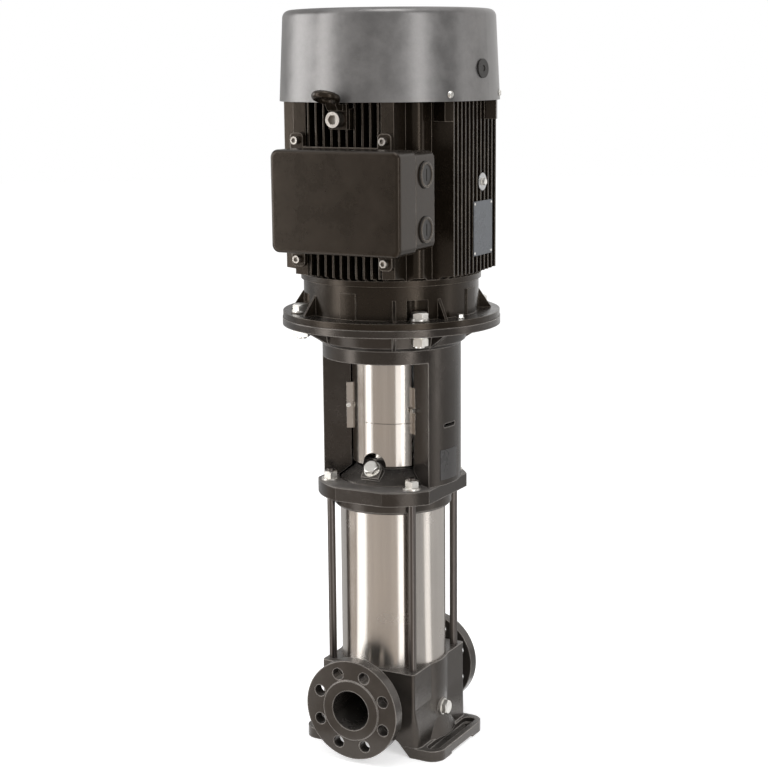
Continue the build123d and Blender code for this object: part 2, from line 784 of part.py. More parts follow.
def lantern_head():
    """Ring, cone and round motor flange on top of the two legs."""
    outer = pillar_outer_diameter / 2
    cone_radius = stool_cone_radius
    flange_radius = motor_flange_radius + 1
    flange_low = ring_high + stool_cone_height
    spigot = motor_spigot_radius + seat_gap
    spigot_floor = flange_face - motor_spigot_height - 0.5
    inner = pillar_inner + 6
    whole = turned((inner, ring_low), (outer, ring_low), (outer, ring_high), (cone_radius, ring_high + 6),
                   (cone_radius + 4, flange_low - 8), (cone_radius + 14, flange_low),
                   (flange_radius, flange_low), (flange_radius, flange_face), (spigot, flange_face),
                   (spigot, spigot_floor), (cone_radius - 14, spigot_floor),
                   (cone_radius - 20, ring_high + 10), (inner, ring_high + 4))
    rib_outline = Polyline((outer - 6, 0, ring_high), (outer, 0, ring_high),
                           (flange_radius - 10, 0, flange_low + 1), (outer - 6, 0, flange_low + 1), close=True)
    rib = extrude(make_face(rib_outline), stool_rib_thickness / 2, both=True, dir=(0, 1, 0))
    whole += [Rot(0, 0, angle) * rib for angle in rib_angles]
    hole = disc(motor_bolt_hole / 2, flange_low - 1, flange_face + 1, motor_bolt_circle / 2)
    for angle in bolt_angles:
        whole -= Rot(0, 0, angle) * hole
    return whole


def motor_stool():
    """Lantern that clamps the pump head and carries the motor on two legs."""
    plate = Pos(0, 0, plate_low) * extrude(plate_outline(), plate_thickness)
    plate = chamfer(plate.faces().sort_by(Axis.Z)[-1].outer_wire().edges(), 2.0)
    plate -= disc(plate_bore / 2, plate_low - 1, plate_high + 1)
    whole = plate + pillar() + Rot(0, 0, 180) * pillar() + lantern_head()
    for x, y in stay_points:
        whole -= disc(stay_bolt_diameter / 2 + 0.5, plate_low - 1, plate_high + 1, x, y)
    for turn in guard_turns:
        whole -= guard_screw_place(turn) * disc(guard_screw_diameter / 2 + tapped_gap, -guard_screw_length, 1)
    return whole


# Guards: each is a curved sheet with two flat ears, screwed to the edges of the legs

guard_turns = [(front, side) for front in (0, 180) for side in (-1, 1)]
ear_inner = guard_diameter / 2 - guard_thickness
ear_offset = guard_thickness + seat_gap
screw_radius = pillar_inner + guard_screw_inset


def guard_screw_place(turn):
    """Place on an ear's outer face, with Z along the screw and pointing away from the leg."""
    front, side = turn
    angle = front + side * (90 - pillar_half_angle) - 90
    outwards = Rot(0, 0, angle) * Pos(screw_radius, -side * ear_offset, guard_screw_height)
    return outwards * Rot(side * 90, 0, 0)


def guard(notched):
    """Guard over the -Y window."""
    outer = guard_diameter / 2
    sheet = sector(outer, outer - guard_thickness, 90 - pillar_half_angle - 2, guard_low, guard_high, -90)
    ear_high = guard_ear_low + guard_ear_height
    for side in (-1, 1):
        angle = side * (90 - pillar_half_angle) - 90
        y_near, y_far = sorted((-side * seat_gap, -side * ear_offset))
        ear = block(ear_inner, ear_inner + guard_ear_width, y_near, y_far, guard_ear_low, ear_high)
        link = sector(outer, outer - guard_thickness, 2.5, guard_ear_low, ear_high, -side * 2.3)
        sheet += Rot(0, 0, angle) * (ear + link)
    for side in (-1, 1):
        sheet -= guard_screw_place((0, side)) * disc(guard_screw_diameter / 2 + 0.2, -5, 5)
    if notched:
        sheet -= along_y(guard_notch_diameter / 2, -guard_diameter, 0, 0, guard_low)
    return sheet


save("motor_stool", motor_stool())
save("coupling_guard_front", guard(True))
save("coupling_guard_rear", Rot(0, 0, 180) * guard(False))
save("guard_screws", *[guard_screw_place(turn) * cap_screw(guard_screw_diameter, guard_screw_length - 2)
                       for turn in guard_turns])


# Coupling

def coupling_half():
    """The -Y half of the coupling, with bores for both shafts and seats for four screws."""
    radius = coupling_diameter / 2
    high = coupling_low + coupling_height
    whole = turned((0, coupling_low), (radius - 2, coupling_low), (radius, coupling_low + 2),
                   (radius, high - 2), (radius - 2, high), (0, high))
    whole -= disc(shaft_radius + bore_fit, coupling_low - 1, motor_shaft_end)
    whole -= disc(motor_shaft_diameter / 2 + bore_fit, motor_shaft_end - 2, high + 1)
    whole -= block(-radius - 1, radius + 1, -coupling_split / 2, radius + 1, coupling_low - 1, high + 1)
    half_pin = coupling_pin_length / 2
    whole -= along_x(coupling_pin_diameter / 2 + bore_fit, -half_pin - 0.5, half_pin + 0.5, 0, pin_height)
    for x, z in coupling_screw_points:
        whole -= along_y(coupling_screw_diameter / 2 + tapped_gap, -radius, 1, x, z)
    return whole


head_room = coupling_screw_diameter * cap_head_share + 0.3
front_half = coupling_half()
for x, z in coupling_screw_points:
    front_half -= along_y(head_room, -coupling_diameter, -coupling_head_seat, x, z)
save("coupling_half_front", front_half)
save("coupling_half_rear", Rot(0, 0, 180) * coupling_half())
coupling_screw = Rot(90, 0, 0) * cap_screw(coupling_screw_diameter, coupling_head_seat * 2)
save("coupling_screws", *[Pos(x, -coupling_head_seat, z) * coupling_screw for x, z in coupling_screw_points])
half_pin = coupling_pin_length / 2
save("coupling_pin", along_x(coupling_pin_diameter / 2, -half_pin, half_pin, 0, pin_height))


# Lower end shield with the motor flange, and the flange's bolts

def shield_rib():
    """Upright web between the motor flange and the shield's wall, on the +X side."""
    reach = motor_flange_radius - 14
    root = shield_radius - shield_wall / 2
    high = shield_low + shield_rib_height
    outline = Polyline((root, 0, shield_low - 1), (reach, 0, shield_low - 1), (reach, 0, shield_low + 2),
                       (shield_radius + 1, 0, high), (root, 0, high), close=True)
    return extrude(make_face(outline), shield_rib_thickness / 2, both=True, dir=(0, 1, 0))


def motor_flange_shield():
    """Drive end shield of the motor: flange, bearing housing and a round wall with ribs and bolt pockets."""
    spigot = motor_spigot_radius
    spigot_low = flange_face - motor_spigot_height
    flange_radius = motor_flange_radius
    housing = bearing_radius + bearing_housing_wall
    housing_high = bearing_seat + bearing_width + 2
    bore = bearing_radius + bearing_fit
    lip = bearing_radius - 8
    floor = shield_low + 4
    wall_inner = shield_radius - shield_wall
    outside = [(lip, flange_face), (spigot - 12, flange_face), (spigot - 12, spigot_low),
               (spigot, spigot_low), (spigot, flange_face), (flange_radius, flange_face),
               (flange_radius, shield_low), (shield_radius, shield_low), (shield_radius, frame_low)]
    seat_inner = frame_bore_radius + 1
    inside = [(seat_inner, frame_low), (seat_inner, frame_low - shield_seat_height),
              (wall_inner, frame_low - shield_seat_height - 4), (wall_inner, floor), (housing, floor),
              (housing, housing_high), (bore, housing_high), (bore, bearing_seat), (lip, bearing_seat)]
    whole = turned(*outside, *inside)
    pad = sector(shield_radius + 2.5, wall_inner + 1, shield_pad_half_angle, shield_low - 1,
                 shield_low + shield_pad_height)
    whole += [Rot(0, 0, angle) * shield_rib() for angle in rib_angles]
    whole += [Rot(0, 0, angle) * pad for angle in pad_angles]
    pocket_radius = bolt_pocket_diameter / 2
    pocket_high = shield_low + bolt_pocket_height
    pocket_wall = shield_wall * 0.8
    inner_wall = disc(pocket_radius + pocket_wall, floor - 1, pocket_high + pocket_wall)
    boss = disc(bolt_boss_diameter / 2, shield_low - 1, bolt_seat)
    for place in at_bolts:
        whole += place * inner_wall & disc(wall_inner + 1, floor - 1, frame_low)
        whole -= place * disc(pocket_radius, shield_low, pocket_high)
        whole += place * boss
        whole -= place * disc(motor_bolt_hole / 2, flange_face - 1, bolt_seat + 1)
    return whole


at_bolts = [Rot(0, 0, angle) * Pos(motor_bolt_circle / 2, 0, 0) for angle in bolt_angles]
save("motor_flange_shield", motor_flange_shield())

head_seat = bolt_seat + motor_washer_thickness
nut_seat = flange_face - stool_flange_thickness - motor_washer_thickness
bolt_end = nut_seat - motor_nut_height - motor_bolt_tip
shank_radius = motor_bolt_diameter / 2
flange_bolt = hexagon(motor_bolt_across_flats, motor_bolt_head_height)
flange_bolt += disc(shank_radius, bolt_end - head_seat, 0.5)
flange_nut = hexagon(motor_bolt_across_flats, motor_nut_height)
flange_nut -= disc(shank_radius + tapped_gap, -1, motor_nut_height + 1)
flange_washer = tube(motor_washer_diameter / 2, shank_radius + 0.2, 0, motor_washer_thickness)
save("motor_flange_bolts", *[place * Pos(0, 0, head_seat) * flange_bolt for place in at_bolts])
save("motor_flange_washers", *[place * Pos(0, 0, height) * flange_washer
                               for place in at_bolts for height in (bolt_seat, nut_seat)])
save("motor_flange_nuts", *[place * Pos(0, 0, nut_seat - motor_nut_height) * flange_nut for place in at_bolts])


# Bearings: a ball and cage set that rolls between two grooved rings

ball_track = (bearing_bore + bearing_diameter) / 4
inner_land = ball_track - bearing_ball * 0.28
outer_land = ball_track + bearing_ball * 0.28


def bearing_groove(middle):
    """Ball track shared by both rings."""
    return Pos(0, 0, middle) * Torus(ball_track, bearing_ball / 2 + bearing_groove_gap)


def bearing_outer(low):
    """Outer ring, with its groove on the inside."""
    ring = tube(bearing_radius, outer_land, low, low + bearing_width)
    return ring - bearing_groove(low + bearing_width / 2)


def bearing_inner(low):
    """Inner ring, with its groove on the outside."""
    ring = tube(inner_land, bearing_bore / 2, low, low + bearing_width)
    return ring - bearing_groove(low + bearing_width / 2)


def bearing_balls(low):
    """Balls joined by the thin ring of their cage."""
    middle = low + bearing_width / 2
    ball = Pos(ball_track, 0, middle) * Sphere(bearing_ball / 2)
    cage = tube(ball_track + 1.5, ball_track - 1.5, middle - 3, middle + 3)
    return cage + ring_of(bearing_ball_count, ball)


for end, low in (("lower", bearing_seat), ("upper", upper_bearing_low)):
    save(f"{end}_bearing_outer_ring", bearing_outer(low))
    save(f"{end}_bearing_inner_ring", bearing_inner(low))
    save(f"{end}_bearing_balls", bearing_balls(low))


# Motor shaft, rotor and stator

journal = bearing_bore / 2 - bearing_fit
core_high = core_low + core_length
lower_bearing_high = bearing_seat + bearing_width
upper_bearing_high = upper_bearing_low + bearing_width
shaft_end_radius = motor_shaft_diameter / 2
core_seat = shaft_end_radius + rotor_seat_height
shaft_top = fan_low + fan_height - 4
save("motor_shaft", turned((0, motor_shaft_end), (shaft_end_radius - 1.5, motor_shaft_end),
                           (shaft_end_radius, motor_shaft_end + 1.5), (shaft_end_radius, bearing_seat - 6),
                           (journal, bearing_seat - 6), (journal, lower_bearing_high),
                           (core_seat, lower_bearing_high), (core_seat, upper_bearing_low),
                           (journal, upper_bearing_low), (journal, upper_bearing_high + 4),
                           (fan_bore / 2, upper_bearing_high + 4), (fan_bore / 2, shaft_top), (0, shaft_top)))
rotor_radius = rotor_diameter / 2
rotor_bore = core_seat + bore_fit
save("rotor_core", tube(rotor_radius, rotor_bore, core_low, core_high))
end_ring = tube(rotor_radius - 2, rotor_radius - 22, 0, end_ring_height)
save("rotor_end_rings", Pos(0, 0, core_high) * end_ring, Pos(0, 0, core_low - end_ring_height) * end_ring)
stator_inner = rotor_radius + air_gap
save("stator_core", tube(frame_bore_radius - bore_fit, stator_inner, core_low, core_high))
winding = tube(frame_bore_radius - winding_inset, stator_inner + winding_inset, 0, winding_length)
winding = fillet(winding.edges().filter_by(GeomType.CIRCLE), winding_inset)
save("stator_windings", Pos(0, 0, core_high) * winding, Pos(0, 0, core_low - winding_length) * winding)


# Motor frame with its cooling fins

fin_root_x = frame_corner_width / 2 - 3


def fin_outline(offset):
    """Section of one fin on the +X side, thinner at its tip."""
    return make_face(Polyline((fin_root_x, offset - fin_root / 2), (fin_reach, offset - fin_tip / 2),
                              (fin_reach, offset + fin_tip / 2), (fin_root_x, offset + fin_root / 2),
                              close=True))


def frame_section():
    """Round tube with four square corners and a comb of parallel fins on each side."""
    section = Circle(frame_bore_radius + frame_wall)
    section += RectangleRounded(frame_corner_width, frame_corner_width, frame_corner_radius)
    fins = [fin_outline((index - (fin_count - 1) / 2) * fin_pitch) for index in range(fin_count)]
    for turn in (0, 90, 180, 270):
        section += [Rot(0, 0, turn) * fin for fin in fins]
    for x in (-box_screw_x, box_screw_x):
        rib = Rectangle(corner_rib_width, fin_reach - fin_root_x)
        section += Pos(x, -(fin_root_x + fin_reach) / 2) * rib
    return section - Circle(frame_bore_radius)


eye_screw_height = (eye_block_low + eye_block_high) / 2
cover_screw_angles = [turn + cover_screw_turn + half for turn in (0, 180)
                      for half in (-cover_screw_half_angle, cover_screw_half_angle)]
cover_radius = cover_diameter / 2
cover_inner = cover_radius - cover_wall
lug_high = cover_screw_height + cover_lug_width / 2
cover_taper = (cover_diameter - cover_top_diameter) / 2 / cover_height
lug_reach = cover_inner - (lug_high - cover_low) * cover_taper - seat_gap
upper_radius = frame_bore_radius + frame_wall
frame_corner = sqrt(fin_reach ** 2 + ((fin_count - 1) / 2 * fin_pitch + fin_root) ** 2)


def motor_frame():
    """Finned housing with the seats of the terminal box, lifting eyes, fan cover screws and earth screw."""
    whole = Pos(0, 0, frame_low) * extrude(frame_section(), frame_height)
    ring_high = frame_low + frame_ring_height
    under = turned((frame_ring_radius, frame_low - 1), (frame_corner + 5, frame_low - 1),
                   (frame_corner + 5, frame_low + fin_end_drop), (fin_reach, frame_low + fin_end_drop - 3),
                   (frame_ring_radius, ring_high))
    whole -= under
    whole += tube(frame_ring_radius, frame_bore_radius + 1, frame_low, ring_high)
    inside = frame_bore_radius + 3
    whole += block(-pad_half_width + 4, pad_half_width - 4, -fin_reach, -inside, pad_low + 3, pad_high - 3)
    eye_block = block(-eye_block_width / 2, eye_block_width / 2, -eye_block_reach, -inside, eye_block_low,
                      eye_block_high)
    eye_hole = along_y(eye_screw_diameter / 2 + tapped_gap, -eye_block_reach - 1, -eye_block_reach + 28, 0,
                       eye_screw_height)
    for turn in (0, 180):
        whole += Rot(0, 0, turn) * eye_block
        whole -= Rot(0, 0, turn) * eye_hole
    for angle in cover_screw_angles:
        lug = block(inside, cover_inner, -cover_lug_width / 2, cover_lug_width / 2,
                    frame_high - cover_lug_length, lug_high)
        lug &= tube(lug_reach, inside, frame_low, lug_high)
        lug -= disc(upper_radius + seat_gap, frame_high, lug_high + 1)
        hole = along_x(cover_screw_diameter / 2 + tapped_gap, cover_inner - 22, cover_inner + 1, 0,
                       cover_screw_height)
        whole += Rot(0, 0, angle) * lug
        whole -= Rot(0, 0, angle) * hole
    for x, z in box_screw_points:
        whole -= along_y(box_screw_diameter / 2 + tapped_gap, -fin_reach - 1, -fin_reach + 16, x, z)
    boss = along_x(earth_boss_diameter / 2, frame_bore_radius + 1, fin_reach, earth_boss_y, earth_boss_height)
    return whole + boss


save("motor_frame", motor_frame())

earth_screw = disc(earth_collar_diameter / 2, 0, earth_collar_height)
earth_screw += Pos(0, 0, earth_collar_height) * hexagon(earth_screw_across_flats, earth_head_height)
flange_place = Rot(0, 0, flange_earth_angle) * Pos(flange_earth_radius, 0, shield_low)
frame_place = Pos(fin_reach, earth_boss_y, earth_boss_height) * Rot(0, 90, 0)
save("earth_screws", flange_place * earth_screw, frame_place * earth_screw)
save("name_plate", block(fin_reach, fin_reach + name_plate_thickness, name_plate_left, name_plate_right,
                         name_plate_low, name_plate_high))


# Upper end shield

upper_lip = bearing_radius - 8
bearing_roof = upper_bearing_high + seat_gap
housing_bore = bearing_radius + bearing_fit
housing_radius = bearing_radius + bearing_housing_wall
housing_low = upper_bearing_low - 2
upper_shield_high = frame_high + upper_shield_thickness
upper_shield = turned((upper_lip, bearing_roof), (housing_bore, bearing_roof), (housing_bore, housing_low),
                      (housing_radius, housing_low), (housing_radius, frame_high), (upper_radius, frame_high),
                      (upper_radius, upper_shield_high - 6), (bearing_radius + 8, upper_shield_high),
                      (upper_lip, upper_shield_high))
save("upper_end_shield", upper_shield)


# Cooling fan

def cooling_fan():
    """Radial fan: hub, backing disc and curved blades."""
    radius = fan_diameter / 2
    hub = fan_hub_diameter / 2
    whole = tube(hub, fan_bore / 2 + bore_fit, fan_low, fan_low + fan_height - 6)
    whole += tube(radius - 4, hub - 1, fan_low, fan_low + 3)
    blade = curved_vane(hub - 2, radius, fan_blade_sweep, fan_blade_thickness, fan_low + 1,
                        fan_low + fan_height)
    return whole + ring_of(fan_blade_count, blade)


save("cooling_fan", cooling_fan())


# Fan cover with its screws and blanking plug

def cover_shell(offset):
    """The fan cover's outer shape as a solid, or the same shape offset inwards."""
    high = cover_low + cover_height - offset
    shell = turned((0, cover_low - offset), (cover_radius - offset, cover_low - offset),
                   (cover_top_diameter / 2 - offset, high), (0, high))
    return fillet(shell.edges().filter_by(GeomType.CIRCLE).sort_by(Axis.Z)[-1], cover_shoulder - offset)


def on_cover_wall(shape):
    """Turns an upright shape onto the axis of the cover's blanking plug, square to the cover's sloping wall."""
    wall_radius = cover_radius - (cover_plug_height - cover_low) * cover_taper
    place = Rot(0, 0, cover_plug_turn) * Pos(wall_radius, 0, cover_plug_height)
    return place * Rot(0, 90 - degrees(atan(cover_taper)), 0) * shape


def fan_cover():
    """Deep round cap with a ringed grille in its top."""
    high = cover_low + cover_height
    whole = cover_shell(0) - cover_shell(cover_wall)
    whole -= disc(grille_diameter / 2, high - cover_wall - 1, high + 1)
    ring_step = grille_diameter / 2 / (grille_ring_count + 1)
    for index in range(grille_ring_count):
        middle = ring_step * (index + 1)
        whole += tube(middle + grille_ring_width / 2, middle - grille_ring_width / 2, high - cover_wall, high)
    half_bar = grille_ring_width / 2
    spoke = block(0, grille_diameter / 2 + 2, -half_bar, half_bar, high - cover_wall, high)
    whole += ring_of(grille_spoke_count, spoke)
    screw_hole = along_x(cover_screw_diameter / 2 + 0.3, cover_inner - 5, cover_radius + 5, 0,
                         cover_screw_height)
    for angle in cover_screw_angles:
        whole -= Rot(0, 0, angle) * screw_hole
    return whole - on_cover_wall(disc(cover_plug_diameter / 2, -12, 5))


save("fan_cover", fan_cover())
cover_plug = disc(cover_plug_diameter / 2 - 0.3, -7, 1) + disc(cover_plug_diameter / 2 + 2.5, 0.2, 2.2)
save("fan_cover_plug", on_cover_wall(cover_plug - disc(cover_plug_diameter / 5, 1, 3)))
cover_face = cover_radius - (cover_screw_height - cover_low) * cover_taper
cover_screw_head = Cone(cover_screw_diameter * 0.95, cover_screw_diameter * 0.5, 3, align=BASE)
cover_screw = Rot(0, 90, 0) * (disc(cover_screw_diameter / 2, -16, 1) + cover_screw_head)
save("fan_cover_screws", *[Rot(0, 0, angle) * Pos(cover_face + 0.4, 0, cover_screw_height) * cover_screw
                           for angle in cover_screw_angles])


# Lifting eyes

def lifting_eye():
    """Forged eye on the -Y side: a foot under its screw, an arm below the fan cover and a ring outside it."""
    back = -eye_block_reach
    foot_front = back - eye_foot_thickness
    foot_half = eye_block_width / 2 - 1
    arm_low = eye_screw_height + eye_screw_diameter * cap_head_share + 1.5
    arm_high = cover_low - 2.2
    riser_back = -cover_radius - 2.5
    ring_inner = eye_ring_radius - eye_ring_thickness / 2
    tip = ring_inner - eye_ring_reach
    foot_block = block(-foot_half, foot_half, foot_front, back, eye_block_low + 1, arm_high)
    outline = Polyline((0, back, arm_low), (0, riser_back - 3, arm_low), (0, tip, eye_ring_height - 8),
                       (0, tip, eye_ring_height - 2), (0, riser_back, eye_ring_height - 4),
                       (0, riser_back, arm_high), (0, back, arm_high), close=True)
    arm = extrude(make_face(outline), eye_arm_width / 2, both=True, dir=(1, 0, 0))
    ring_place = Pos(0, -eye_ring_reach, eye_ring_height) * Rot(-eye_ring_tilt, 0, 0)
    whole = foot_block + arm - ring_place * Cylinder(ring_inner + 2, 2 * eye_ring_radius)
    whole += ring_place * Torus(eye_ring_radius, eye_ring_thickness / 2)
    return whole - along_y(eye_screw_diameter / 2 + 0.3, foot_front - 1, back + 1, 0, eye_screw_height)


eye_screw_place = Pos(0, -eye_block_reach - eye_foot_thickness, eye_screw_height) * Rot(90, 0, 0)
eye_screw = eye_screw_place * cap_screw(eye_screw_diameter, 30)
save("lifting_eyes", lifting_eye(), Rot(0, 0, 180) * lifting_eye())
save("lifting_eye_screws", eye_screw, Rot(0, 0, 180) * eye_screw)


# Terminal box

def rounded_box(x_low, x_high, y_low, y_high, z_low, z_high, radius):
    """Box whose corners are round when seen along Y."""
    outline = RectangleRounded(x_high - x_low, z_high - z_low, radius)
    middle = Pos((x_low + x_high) / 2, y_high, (z_low + z_high) / 2)
    return middle * Rot(90, 0, 0) * extrude(outline, y_high - y_low)


pad_front = -fin_reach - pad_thickness
entry_middle = (box_low + box_high) / 2 - 1
entry_heights = [entry_middle - entry_spacing / 2, entry_middle + entry_spacing / 2]


def terminal_box():
    """Box on the motor's front pad, with four screw lugs and two cable entries on its +X side."""
    pad = rounded_box(-pad_half_width, pad_half_width, pad_front, -fin_reach, pad_low, pad_high, 4)
    for x, z in box_screw_points:
        ear_low, ear_high = sorted((z + copysign(box_ear_radius, z - box_middle), box_middle))
        pad += rounded_box(x - box_ear_radius, x + box_ear_radius, pad_front, -fin_reach, ear_low, ear_high, 7)
    left = box_left + 8
    tail_left = frame_corner_width / 2 + 3
    low = box_low + 4
    high = box_high - 3
    wing = rounded_box(left, box_right, box_seam, pad_front, low, high, box_edge)
    tail = block(tail_left, box_right, pad_front - 1, box_back, low, high)
    tail &= rounded_box(box_left, box_right, pad_front - 1, box_back, low, high, box_edge)
    inside = block(left + box_wall, box_right - box_wall, box_seam - 1, pad_front - 1, low + box_wall,
                   high - box_wall)
    tail_room = block(tail_left + box_wall, box_right - box_wall, pad_front - 2, box_back - box_wall,
                      low + box_wall, high - box_wall)
    whole = pad + wing + tail - inside - tail_room
    for x, z in box_screw_points:
        whole -= block(x - box_screw_recess, x + box_screw_recess, box_seam - 1, pad_front,
                       z - box_screw_recess, z + box_screw_recess)
        whole -= along_y(box_screw_diameter / 2 + 0.2, pad_front - 1, -fin_reach + 1, x, z)
    for z in entry_heights:
        whole -= along_x(entry_diameter / 2 - 3, box_right - box_wall - 1, box_right + 1, entry_y, z)
    return whole


save("terminal_box", terminal_box())

lid = rounded_box(box_left, box_right, box_front, box_seam, box_low, box_high, box_edge)
lid = fillet(lid.faces().sort_by(Axis.Y)[0].edges(), 6)
lid -= rounded_box(box_left + box_wall, box_right - box_wall, box_front + box_wall, box_seam + 1,
                   box_low + box_wall, box_high - box_wall, box_edge - box_wall)
save("terminal_box_cover", lid)
save("terminal_box_screws", *[Pos(x, pad_front, z) * Rot(90, 0, 0) * cap_screw(box_screw_diameter, 22)
                              for x, z in box_screw_points])

blank = along_x(entry_diameter / 2 - 3.2, box_right - box_wall, box_right, 0, 0)
blank += along_x(entry_diameter / 2, box_right, box_right + 2, 0, 0)
blank -= block(box_right + 1, box_right + 3, -1.5, 1.5, -9, 9)
save("cable_entry_blanks", *[Pos(0, entry_y, z) * blank for z in entry_heights])

block_back = pad_front - 1
block_front = block_back - terminal_block_depth
half_width, half_height = terminal_block_width / 2, terminal_block_height / 2
save("terminal_block", block(-half_width, half_width, block_front, block_back, box_middle - half_height,
                             box_middle + half_height))
stud = Rot(90, 0, 0) * (Cylinder(2.5, 10, align=BASE) + hexagon(10, 4))
half_row = terminal_row_spacing / 2
save("terminal_studs", *[Pos(x, block_front, box_middle + z) * stud
                         for x in (-terminal_pitch, 0, terminal_pitch) for z in (-half_row, half_row)])
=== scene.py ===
import json
from math import cos, pi, radians, sin, tau

import bmesh
import bpy
from mathutils import Matrix, Vector


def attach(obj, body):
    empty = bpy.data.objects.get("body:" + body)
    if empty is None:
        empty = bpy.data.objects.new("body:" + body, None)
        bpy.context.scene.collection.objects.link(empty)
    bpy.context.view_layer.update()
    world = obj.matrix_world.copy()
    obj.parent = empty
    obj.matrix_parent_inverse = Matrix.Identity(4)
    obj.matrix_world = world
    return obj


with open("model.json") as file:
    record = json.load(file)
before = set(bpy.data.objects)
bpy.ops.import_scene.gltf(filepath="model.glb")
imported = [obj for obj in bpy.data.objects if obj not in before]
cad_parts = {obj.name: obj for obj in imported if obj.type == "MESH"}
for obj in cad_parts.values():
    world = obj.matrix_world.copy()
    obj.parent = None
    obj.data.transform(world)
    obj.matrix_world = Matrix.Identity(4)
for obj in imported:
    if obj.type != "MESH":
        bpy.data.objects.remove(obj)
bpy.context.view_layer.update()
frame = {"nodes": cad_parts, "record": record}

scene = bpy.context.scene
nodes = frame["nodes"]
MM = 0.001

# The camera, from the photograph's viewing angle
PHOTO_SIZE = 768
PHOTO_FOCAL = 1674.7
SENSOR = 36.0
CAMERA_AZIMUTH = radians(28.69)
CAMERA_PITCH = radians(10.85)
CAMERA_ROLL = radians(-0.5)
CAMERA_PLACE = Vector((1.2781, -2.3627, 1.1162))
CAMERA_REACH = 50.0


def make_camera():
    """Camera at the photograph's place, turned as it was."""
    data = bpy.data.cameras.new("photo_camera")
    data.sensor_width = SENSOR
    data.lens = PHOTO_FOCAL / PHOTO_SIZE * SENSOR
    data.clip_end = CAMERA_REACH
    camera = bpy.data.objects.new("photo_camera", data)
    scene.collection.objects.link(camera)
    level = cos(CAMERA_PITCH)
    forward = Vector((-sin(CAMERA_AZIMUTH) * level, cos(CAMERA_AZIMUTH) * level, -sin(CAMERA_PITCH)))
    right = forward.cross(Vector((0, 0, 1))).normalized()
    up = right.cross(forward)
    rolled_right = right * cos(CAMERA_ROLL) + up * sin(CAMERA_ROLL)
    rolled_up = up * cos(CAMERA_ROLL) - right * sin(CAMERA_ROLL)
    turn = Matrix((rolled_right, rolled_up, -forward)).transposed().to_4x4()
    camera.matrix_world = Matrix.Translation(CAMERA_PLACE) @ turn
    scene.camera = camera


make_camera()


# Node helpers

# Where a colour Mix node keeps its two colours and their mixture
MIX_FIRST, MIX_SECOND, MIX_RESULT = 6, 7, 2


def fill_inputs(tree, sockets, values):
    """Each input set to its value, or linked where the value is a socket."""
    for name, value in values.items():
        if isinstance(value, bpy.types.NodeSocket):
            tree.links.new(value, sockets[name])
        else:
            sockets[name].default_value = value


def add_node(tree, kind, inputs=None, **settings):
    """A node with its settings made and its inputs set or linked."""
    made = tree.nodes.new(kind)
    for name, value in settings.items():
        setattr(made, name, value)
    fill_inputs(tree, made.inputs, inputs or {})
    return made


def worked_out(tree, operation, *values, **settings):
    """The result of a sum on one to three values."""
    return add_node(tree, "ShaderNodeMath", dict(enumerate(values)), operation=operation, **settings).outputs[0]


def rescale(tree, value, low, high, new_low=0.0, new_high=1.0):
    """The value, carried from one range to another."""
    made = add_node(tree, "ShaderNodeMapRange", {0: value, 1: low, 2: high, 3: new_low, 4: new_high})
    return made.outputs[0]


def spread_about(tree, mask, middle, spread):
    """A value that a mask varies from its middle by two given steps."""
    below, above = spread
    return rescale(tree, mask, 0.0, 1.0, middle + below, middle + above)


def opaque(colour):
    """A colour as an input takes it. A socket stays itself."""
    return colour if isinstance(colour, bpy.types.NodeSocket) else (*colour, 1.0)


def mixed(tree, share, first, second):
    """Two colours mixed by a share."""
    made = add_node(tree, "ShaderNodeMix", {"Factor": share}, data_type="RGBA")
    fill_inputs(tree, made.inputs, {MIX_FIRST: opaque(first), MIX_SECOND: opaque(second)})
    return made.outputs[MIX_RESULT]


def object_place(tree):
    """The place on the piece, in its own frame."""
    return add_node(tree, "ShaderNodeTexCoord").outputs["Object"]


def new_effect(name, inputs, outputs):
    """An empty effect group with its named sockets."""
    tree = bpy.data.node_groups.new(name, "ShaderNodeTree")
    for label, default in inputs.items():
        kind = "NodeSocketVector" if default is None else "NodeSocketFloat"
        socket = tree.interface.new_socket(label, in_out="INPUT", socket_type=kind)
        if default is not None:
            socket.default_value = default
    for label, kind in outputs.items():
        tree.interface.new_socket(label, in_out="OUTPUT", socket_type="NodeSocket" + kind)
    entry = tree.nodes.new("NodeGroupInput")
    leave = tree.nodes.new("NodeGroupOutput")
    return tree, entry.outputs, leave.inputs


def noise(tree, place, scale, detail, roughness):
    """Noise on a place, as a value."""
    made = add_node(tree, "ShaderNodeTexNoise",
                    {"Vector": place, "Scale": scale, "Detail": detail, "Roughness": roughness})
    return made.outputs["Fac"]


# Effects that several finishes share

# How far an edge turns from its face, as a cosine, where its wear and painted edge highlight start and where
# they are full
EDGE_STARTS, EDGE_FULL = 0.99, 0.90
EDGE_SAMPLES = 6


def make_soft_edges():
    """Rounded edges for the light to catch, and a mask of where they are."""
    tree, given, wanted = new_effect("soft_edges", {"Radius": 0.001}, {"Normal": "Vector", "Edge": "Float"})
    rounded = add_node(tree, "ShaderNodeBevel", {"Radius": given["Radius"]}, samples=EDGE_SAMPLES)
    plain = add_node(tree, "ShaderNodeNewGeometry")
    same = add_node(tree, "ShaderNodeVectorMath", {0: rounded.outputs[0], 1: plain.outputs["Normal"]},
                    operation="DOT_PRODUCT")
    tree.links.new(rounded.outputs[0], wanted["Normal"])
    tree.links.new(rescale(tree, same.outputs["Value"], EDGE_STARTS, EDGE_FULL), wanted["Edge"])
    return tree


DENTS_TO_GRAIN = 0.16
MOTTLE_SCALE = 24.0
MOTTLE_RANGE = (0.35, 0.68)


